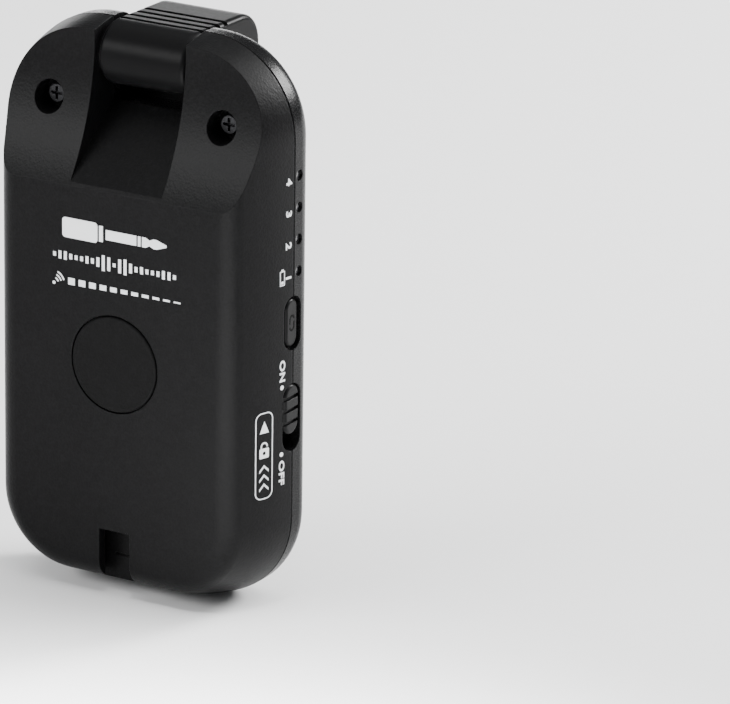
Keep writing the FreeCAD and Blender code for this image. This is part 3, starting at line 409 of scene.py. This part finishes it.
@dataclass
class Mark:
    """Flat printed mark: outlines and words on one surface.

    Attributes:
        name: the piece's name.
        outlines: each is one closed outline, or a list of an outline and the holes in it.
        words: (text, u, v, height) of each generic word or number.
        stretch: how much wider than the plain letters the words are.
    """

    name: str
    outlines: list = field(default_factory=list)
    words: list[tuple[str, float, float, float]] = field(default_factory=list)
    stretch: float = 1.4

    def flat(self) -> tuple[np.ndarray, list]:
        """Fill the outlines and words.

        Returns:
            Corners as rows of (u, v) in millimetres, and faces.
        """
        shapes = [item if isinstance(item, list) else [item] for item in self.outlines]
        parts = [self._filled(self._drawn(shape)) for shape in shapes]
        parts += [self._filled(self._spelled(text, height), (u, v), self.stretch)
                  for text, u, v, height in self.words]
        points, faces, count = [], [], 0
        for corners, loops in parts:
            points.append(corners)
            faces += [[count + i for i in loop] for loop in loops]
            count += len(corners)
        return np.vstack(points), faces

    def _drawn(self, outlines: list[np.ndarray]) -> bpy.types.Curve:
        """Curve made of one outline and the holes in it."""
        curve = bpy.data.curves.new(self.name, "CURVE")
        curve.dimensions = "2D"
        curve.fill_mode = "BOTH"
        for outline in outlines:
            spline = curve.splines.new("POLY")
            spline.points.add(len(outline) - 1)
            rows = np.pad(outline, ((0, 0), (0, 2)))
            rows[:, 3] = 1
            spline.points.foreach_set("co", rows.ravel())
            spline.use_cyclic_u = True
        return curve

    @staticmethod
    def _spelled(text: str, height: float) -> bpy.types.Curve:
        """Curve of a word about its middle, whose capitals have the height given."""
        curve = bpy.data.curves.new(text, "FONT")
        curve.body = text
        curve.align_x = "CENTER"
        curve.align_y = "CENTER"
        curve.size = height / CAPITAL_SHARE
        curve.offset = 0.05 * height
        curve.space_character = 1.08
        curve.resolution_u = 4
        return curve

    @staticmethod
    def _filled(curve: bpy.types.Curve, shift: tuple[float, float] = (0.0, 0.0),
                stretch: float = 1.0) -> tuple[np.ndarray, list]:
        """Fill a flat curve.

        Args:
            curve: the curve, about its own middle.
            shift: where its middle goes.
            stretch: how much wider it becomes.

        Returns:
            Its corners as rows of (u, v), and its faces.
        """
        holder = bpy.data.objects.new(curve.name, curve)
        bpy.context.scene.collection.objects.link(holder)
        bpy.context.view_layer.update()
        mesh = bpy.data.meshes.new_from_object(holder)
        corners = np.empty(len(mesh.vertices) * 3)
        mesh.vertices.foreach_get("co", corners)
        loops = [list(face.vertices) for face in mesh.polygons]
        bpy.data.objects.remove(holder)
        bpy.data.meshes.remove(mesh)
        return corners.reshape(-1, 3)[:, :2] * (stretch, 1.0) + shift, loops


def raised(mark: Mark, surface: "FrontFace | SideFace", rise: float, finish: Finish,
           body: str) -> bpy.types.Object:
    """Print a mark on a surface as a thin closed layer.

    The top is the surface's point at (u, v) lifted by rise, the underside is sunk by as much,
    and every edge that only one face uses gets a side wall.

    Args:
        mark: what is printed.
        surface: what it is printed on; its place(u, v, lift) gives points in metres.
        rise: thickness above the surface, in metres.
        finish: the ink, except on the button's loop, where it is a near-black painted shade
            standing for the loop's recess.
        body: the CAD body that it moves with.

    Returns:
        The new object.
    """
    flat, faces = mark.flat()
    count = len(flat)
    top = surface.place(flat[:, 0], flat[:, 1], rise)
    under = surface.place(flat[:, 0], flat[:, 1], -rise)
    edges = [(a, b) for loop in faces for a, b in zip(loop, loop[1:] + loop[:1])]
    used = set(edges)
    rim = [(a, b) for a, b in edges if (b, a) not in used]
    walls = [[b, a, a + count, b + count] for a, b in rim]
    undersides = [[i + count for i in reversed(loop)] for loop in faces]
    return make_piece(mark.name, np.vstack([top, under]), faces + undersides + walls, finish, body)


# ---------------------------------------------------------------- surfaces that carry print
@dataclass
class FrontFace:
    """Flat front of the housing, read with X to the right and Z up.

    Attributes:
        x: the mark's middle across the front, in metres.
        y: the face's own place, in metres.
        z: the mark's middle above the foot, in metres.
    """

    x: float
    y: float
    z: float

    def place(self, u: np.ndarray, v: np.ndarray, lift: float) -> np.ndarray:
        """Points at (u, v) millimetres from the middle, lifted out of the face."""
        return np.stack([self.x + u * MM, np.full_like(u, self.y - lift), self.z + v * MM],
                        axis=-1)


class Reading(Enum):
    """Which way a mark on the side is read."""

    UPRIGHT = "upright"    # its top towards the housing's top
    DOWN = "down"          # turned a quarter, so that it runs down the side


@dataclass
class SideFace:
    """Crowned right side of the front shell.

    At a distance f in front of the parting plane the side has moved in by
    R cos a - sqrt(R^2 - (f + R sin a)^2), with R the crown's radius and a its lean.

    Attributes:
        half_width: the side's place at the parting plane, in metres.
        part_y: the parting plane's place, in metres.
        y: the mark's middle from front to back, in metres.
        z: the mark's middle above the foot, in metres.
        reading: which way the mark is read.
        crown: radius of the side's crown, in metres.
        lean: how far the crown leans at the parting plane, in radians.
    """

    half_width: float
    part_y: float
    y: float
    z: float
    reading: Reading = Reading.DOWN
    crown: float = 33.8 * MM
    lean: float = math.radians(8.5)

    def place(self, u: np.ndarray, v: np.ndarray, lift: float) -> np.ndarray:
        """Points at (u, v) millimetres from the middle, lifted out of the side."""
        if self.reading is Reading.DOWN:
            y, z = self.y + v * MM, self.z - u * MM
        else:
            y, z = self.y + u * MM, self.z + v * MM
        forward = np.maximum(self.part_y - y, 0) + self.crown * math.sin(self.lean)
        inset = self.crown * math.cos(self.lean) - np.sqrt(self.crown ** 2 - forward ** 2)
        return np.stack([self.half_width - inset + lift, y, z], axis=-1)


# ---------------------------------------------------------------- sub-assemblies
@dataclass
class Housing:
    """The round pad and what is printed on the front.

    Attributes:
        row_heights: heights above the foot of the three printed rows, in millimetres.
        print_rise: thickness of the ink, in metres.
        pad_rim: radius of the pad's rounded rim, in metres.
        pad_crown: how far the pad's middle stands above its rim, in metres.
        pad_middle: radius of the smallest ring round the pad's middle, in metres.
        pad_chamfer: chamfer at the pad's back, in metres.
    """

    row_heights: tuple[float, float, float] = (47.6, 43.9, 40.7)
    print_rise: float = 0.012 * MM
    pad_rim: float = 0.28 * MM
    pad_crown: float = 0.05 * MM
    pad_middle: float = 0.2 * MM
    pad_chamfer: float = 0.1 * MM

    def build(self) -> None:
        """Dress the front with its marks and its pad."""
        front_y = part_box("front_shell")[0].y
        rows = (self.plug_mark(), self.wave_mark(), self.radio_mark())
        for mark, height in zip(rows, self.row_heights):
            face = FrontFace(0.0, front_y, height * MM)
            raised(mark, face, self.print_rise, INK, "housing")
        self.pad()

    @staticmethod
    def plug_mark() -> Mark:
        """Plain pictogram of a jack plug lying on its side."""
        mark = Mark("front_plug_mark")
        mark.outlines = [Outline.round_box(-5.05, 0, 5.2, 2.6, 0.45),
                         Outline.box(-1.95, 0, 0.6, 2.05),
                         Outline.box(1.0, 0, 4.5, 1.3), Outline.box(3.65, 0, 0.4, 1.3)]
        tip = np.array([(4.05, -0.65), (4.6, -0.65), (5.15, -0.36), (5.75, -0.62),
                        (6.2, -0.62), (7.65, -0.14), (7.65, 0.14), (6.2, 0.62),
                        (5.75, 0.62), (5.15, 0.36), (4.6, 0.65), (4.05, 0.65)])
        mark.outlines.append(tip)
        return mark

    @staticmethod
    def wave_mark(bars: int = 23, pitch: float = 0.8) -> Mark:
        """Row of bars whose heights follow two waves under a swelling envelope."""
        place = (np.arange(bars) - (bars - 1) / 2) * pitch
        share = np.abs(np.sin(place * 1.05) * np.cos(place * 0.31))
        swell = np.cos(place / (bars * pitch) * np.pi) ** 0.5
        height = 0.5 + 1.77 * share * swell
        bars_drawn = [Outline.box(u, 0, 0.44, h) for u, h in zip(place, height)]
        return Mark("front_wave_mark", bars_drawn)

    @staticmethod
    def radio_mark() -> Mark:
        """Radio waves from a dot, and a row of dashes that grow towards them."""
        waves = [Outline.band(-8.9, -0.55, r, r + 0.22, 20, 70) for r in (0.55, 1.0, 1.45)]
        dashes = [Outline.box(-6.3 + 1.55 * i, 0, 1.0, 0.9 - 0.07 * i) for i in range(11)]
        return Mark("front_radio_mark", [Outline.disc(-8.9, -0.55, 0.22)] + waves + dashes)

    def pad(self) -> None:
        """Soft disc with a rounded rim and a very slight crown, in place of the plain one."""
        low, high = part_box("round_pad")
        centre = (low + high) / 2
        radius, depth = (high.x - low.x) / 2, high.y - low.y
        flat = radius - self.pad_rim
        inward = np.linspace(flat, self.pad_middle, 24)
        crown = self.pad_crown * (1 - (inward / flat) ** 2)
        rim_depth = depth - crown.max()
        turn = np.linspace(0, np.pi / 2, 9)
        edge = np.stack([flat + self.pad_rim * np.cos(turn),
                         rim_depth - self.pad_rim + self.pad_rim * np.sin(turn)], axis=-1)
        face = np.stack([inward[1:], rim_depth + crown[1:]], axis=-1)
        back = np.array([(self.pad_middle, 0.0), (radius - self.pad_chamfer, 0.0),
                         (radius, self.pad_chamfer)])
        axes = np.array([(1, 0, 0), (0, 0, 1), (0, -1, 0)], float)
        disc = turned("soft_pad", np.vstack([back, edge, face]), (centre.x, high.y, centre.z),
                      axes, PAD, "housing")
        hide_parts("round_pad")


@dataclass
class SideControls:
    """Printed marks beside the lights, the button and the power slider.

    Distances forward are from the parting plane and heights are above the foot, in
    millimetres.

    Attributes:
        digit_forward: the numbers' middles, forward.
        digit_height: height of a number.
        digit_drop: how far each number's middle lies below its light's.
        battery_forward: the battery symbol's middle, forward.
        battery_place: its height above the foot.
        switch_forward: the middles of ON and OFF, forward.
        on_place: ON's height above the foot.
        off_place: OFF's height above the foot.
        dot_offset: from a word's middle to its dot's.
        word_height: height of the words' capitals.
        label_forward: the slide label's middle, forward.
        label_place: its height above the foot.
        print_rise: thickness of the ink, in metres.
        half_width: the side's place at the parting plane, in metres, from the frame.
        part_y: the parting plane's place, in metres, from the frame.
    """

    digit_forward: float = 1.05
    digit_height: float = 0.92
    digit_drop: float = 0.40
    battery_forward: float = 2.05
    battery_place: float = 43.5
    switch_forward: float = 1.95
    on_place: float = 31.5
    off_place: float = 18.6
    dot_offset: float = 2.1
    word_height: float = 0.86
    label_forward: float = 4.8
    label_place: float = 21.2
    print_rise: float = 0.012 * MM
    half_width: float = field(init=False)
    part_y: float = field(init=False)

    def __post_init__(self) -> None:
        """Take the side's place from the frame."""
        self.half_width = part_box("rear_shell")[1].x
        self.part_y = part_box("front_shell")[1].y

    def build(self) -> None:
        """Print every mark and draw the loop on the button in near-black painted shade."""
        for digit, height in zip("4321", self.light_heights()):
            self.print_at(Mark(f"side_number_{digit}", [], [(digit, 0, 0, self.digit_height)]),
                          self.digit_forward, height - self.digit_drop)
        self.print_at(self.battery_mark(), self.battery_forward, self.battery_place)
        word, dot = self.word_height, self.dot_offset
        on_mark = Mark("side_on_mark", [Outline.disc(dot, 0, 0.3)], [("ON", 0, 0, word)])
        off_mark = Mark("side_off_mark", [Outline.disc(-dot, 0, 0.3)], [("OFF", 0.3, 0, word)])
        self.print_at(on_mark, self.switch_forward, self.on_place)
        self.print_at(off_mark, self.switch_forward, self.off_place)
        self.print_at(self.slide_label(), self.label_forward, self.label_place,
                      Reading.UPRIGHT)
        self.button_loop()

    @staticmethod
    def light_heights(lights: int = 4, led_length: float = 1.6) -> np.ndarray:
        """Heights of the lights' middles, from the top one down.

        Args:
            lights: how many lights there are.
            led_length: height of one of them, in millimetres.

        Returns:
            Their heights above the foot, in millimetres.
        """
        low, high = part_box("indicator_leds")
        half = led_length / 2
        return np.linspace(high.z / MM - half, low.z / MM + half, lights)

    def print_at(self, mark: Mark, forward: float, height: float,
                 reading: Reading = Reading.DOWN) -> None:
        """Print one mark on the side.

        Args:
            mark: what is printed.
            forward: its middle in front of the parting plane, in millimetres.
            height: its middle above the foot, in millimetres.
            reading: which way it is read.
        """
        face = SideFace(self.half_width, self.part_y, self.part_y - forward * MM, height * MM,
                        reading)
        raised(mark, face, self.print_rise, INK, "housing")

    @staticmethod
    def battery_mark() -> Mark:
        """Outline of a battery with one bar of charge."""
        case = [Outline.box(0, 0, 1.9, 0.86), Outline.box(0, 0, 1.62, 0.58)]
        return Mark("side_battery_mark", [case, Outline.box(-1.06, 0, 0.22, 0.4),
                                          Outline.box(0.55, 0, 0.36, 0.42)])

    @staticmethod
    def slide_label() -> Mark:
        """Rounded frame with an upward arrow head, a padlock and three chevrons."""
        frame_lines = [Outline.round_box(0, 0, 2.75, 11.3, 0.95),
                       Outline.round_box(0, 0, 2.43, 10.98, 0.79)]
        arrow = np.array([(-0.72, 2.95), (0.72, 2.95), (0, 4.55)])
        lock = [Outline.round_box(0, 0.35, 1.5, 1.3, 0.18), Outline.disc(0, 0.35, 0.24)]
        shackle = Outline.band(0, 1.25, 0.34, 0.56, -10, 190)
        post = Outline.box(-0.45, 1.05, 0.22, 0.42)
        chevrons = [np.array([(-0.72, v - 0.7), (0, v), (0.72, v - 0.7), (0.72, v - 0.36),
                              (0, v + 0.34), (-0.72, v - 0.36)]) for v in (-1.5, -2.7, -3.9)]
        return Mark("side_slide_label", [frame_lines, arrow, lock, shackle, post] + chevrons)

    @staticmethod
    def button_loop() -> None:
        """Two half loops on the button's face, each a straight side with an arc, laid as a thin
        near-black layer: painted shade standing for the loop's recess.
        """
        low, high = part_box("link_button")
        face = SideFace(high.x, low.y, (low.y + high.y) / 2, (low.z + high.z) / 2,
                        Reading.UPRIGHT)
        arcs = [Outline.band(0, v, 0.32, 0.60, first, first + 180)
                for v, first in ((0.48, 0), (-0.48, 180))]
        sides = [Outline.box(-0.46, 0.18, 0.28, 0.66), Outline.box(0.46, -0.18, 0.28, 0.66)]
        # The loop's finish is painted shade: near-black where the recessed loop would lie in
        # shade.
        raised(Mark("button_loop", arcs + sides), face, 0.01 * MM, RECESS_SHADE, "button")


@dataclass
class Studio:
    """Pale floor, soft lights and the camera.

    Attributes:
        azimuth: camera's turn from straight in front, in degrees, towards +X.
        elevation: its height above the horizon, in degrees.
        distance: from the pad, in metres.
        lens: focal length on a 36 mm sensor, in millimetres.
        pad_place: where the pad's middle falls in the frame, as shares from its upper left.
        frame_ratio: the frame's height as a share of its width.
        sensor: the sensor's width, in millimetres.
        floor_reach: half the floor's width, in metres.
        floor_gap: how far the floor lies below the foot, in metres.
    """

    azimuth: float = 33.4
    elevation: float = 18.6
    distance: float = 0.75
    lens: float = 299.6
    pad_place: tuple[float, float] = (0.1552, 0.5190)
    frame_ratio: float = 0.96438
    sensor: float = 36.0
    floor_reach: float = 6.0
    floor_gap: float = 0.02 * MM

    def build(self) -> None:
        """Set the floor, the lights, the surroundings and the camera."""
        self.floor()
        self.surroundings()
        self.softbox("top_light", 0, 90, 0.80, 0.80, 2.4)
        self.softbox("front_left_light", -34, 26, 0.50, 0.26, 11.0)
        self.softbox("right_back_light", 129, 50, 0.55, 0.40, 5.0)
        self.softbox("shoulder_light", 151, 26, 0.20, 0.22, 70.0)
        self.softbox("left_rim_light", -143, 9, 0.45, 0.10, 8.0)
        self.floor_spot("edge_light", 28, 0.12, 100.0)
        self.camera()

    @staticmethod
    def bearing(azimuth: float, elevation: float) -> Vector:
        """Unit vector away from the object.

        Args:
            azimuth: turn from straight in front, in degrees, towards +X.
            elevation: height above the horizon, in degrees.

        Returns:
            The vector.
        """
        turn, rise = math.radians(azimuth), math.radians(elevation)
        return Vector((math.sin(turn) * math.cos(rise), -math.cos(turn) * math.cos(rise),
                       math.sin(rise)))

    def camera(self) -> None:
        """Aim the camera so that the pad's middle falls where pad_place says."""
        low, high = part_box("round_pad")
        target = Vector((0.0, low.y, (low.z + high.z) / 2))
        data = bpy.data.cameras.new("camera")
        data.lens = self.lens
        data.sensor_width = self.sensor
        data.clip_start = 0.01
        camera = bpy.data.objects.new("camera", data)
        bpy.context.scene.collection.objects.link(camera)
        away = self.bearing(self.azimuth, self.elevation)
        look = (-away).to_track_quat("-Z", "Y").to_matrix()
        across = (self.pad_place[0] - 0.5) * self.sensor
        down = (self.pad_place[1] - 0.5) * self.sensor * self.frame_ratio
        ray = Vector((across, -down, -self.lens))
        swing = ray.rotation_difference(Vector((0, 0, -1))).to_matrix()
        turn = (look @ swing).to_4x4()
        camera.matrix_world = Matrix.Translation(target + away * self.distance) @ turn
        bpy.context.scene.camera = camera

    def floor(self) -> None:
        """Wide pale floor at the object's foot."""
        mesh = bpy.data.meshes.new("floor")
        corner = np.array([(-1, -1, 0), (1, -1, 0), (1, 1, 0), (-1, 1, 0)]) * self.floor_reach
        mesh.from_pydata(corner.tolist(), [], [[0, 1, 2, 3]])
        obj = bpy.data.objects.new("floor", mesh)
        bpy.context.scene.collection.objects.link(obj)
        obj.location.z = CAD_BOX[0][2] - self.floor_gap
        dress(obj, FLOOR)

    @staticmethod
    def surroundings() -> None:
        """Pale even light from all round."""
        world = bpy.data.worlds.new("surroundings")
        world.use_nodes = True
        back = world.node_tree.nodes["Background"]
        back.inputs["Color"].default_value = (0.95, 0.97, 1.0, 1)
        back.inputs["Strength"].default_value = 0.35
        bpy.context.scene.world = world

    def floor_spot(self, name: str, azimuth: float, reach: float, power: float,
                   height: float = 0.5, spread: float = 22.0) -> None:
        """Spot that brightens a patch of floor, which the rounded front edge mirrors.

        Args:
            name: the light's name.
            azimuth: the patch's turn from straight in front, in degrees, towards +X.
            reach: how far the patch lies from the object, in metres.
            power: the spot's power, in watts.
            height: how high the spot hangs, in metres.
            spread: width of its cone, in degrees.
        """
        patch = self.bearing(azimuth, 0) * reach
        data = bpy.data.lights.new(name, "SPOT")
        data.energy = power
        data.spot_size = math.radians(spread)
        data.spot_blend = 1.0
        data.shadow_soft_size = 0.02
        self.hang(data, patch * 2 + Vector((0, 0, height)), patch)

    def softbox(self, name: str, azimuth: float, elevation: float, width: float,
                height: float, radiance: float, distance: float = 0.7) -> None:
        """Soft light aimed at the object's middle; its power is pi * area * radiance.

        Args:
            name: the light's name.
            azimuth: its turn from straight in front, in degrees, towards +X.
            elevation: its height above the horizon, in degrees.
            width: its width, in metres.
            height: its height, in metres.
            radiance: how bright its face is.
            distance: how far it stands from the object, in metres.
        """
        data = bpy.data.lights.new(name, "AREA")
        data.shape = "RECTANGLE"
        data.size, data.size_y = width, height
        data.energy = math.pi * width * height * radiance
        middle = Vector((0, 0, CAD_BOX[1][2] / 2))
        self.hang(data, middle + self.bearing(azimuth, elevation) * distance, middle)

    @staticmethod
    def hang(data: bpy.types.Light, place: Vector, target: Vector) -> None:
        """Put a light in the scene.

        Args:
            data: the light, whose name its object takes.
            place: where it hangs, in metres.
            target: the point that it faces, in metres.
        """
        light = bpy.data.objects.new(data.name, data)
        bpy.context.scene.collection.objects.link(light)
        light.location = place
        light.rotation_euler = (target - place).to_track_quat("-Z", "Y").to_euler()


def main() -> None:
    """Build the scene in order and report each step."""
    logging.basicConfig(level=logging.INFO, format="%(name)s: %(message)s")
    Studio().build()
    for node, finish in DRESS.items():
        dress(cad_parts[node], finish)
    Housing().build()
    SideControls().build()


if __name__ == "__main__":
    main()
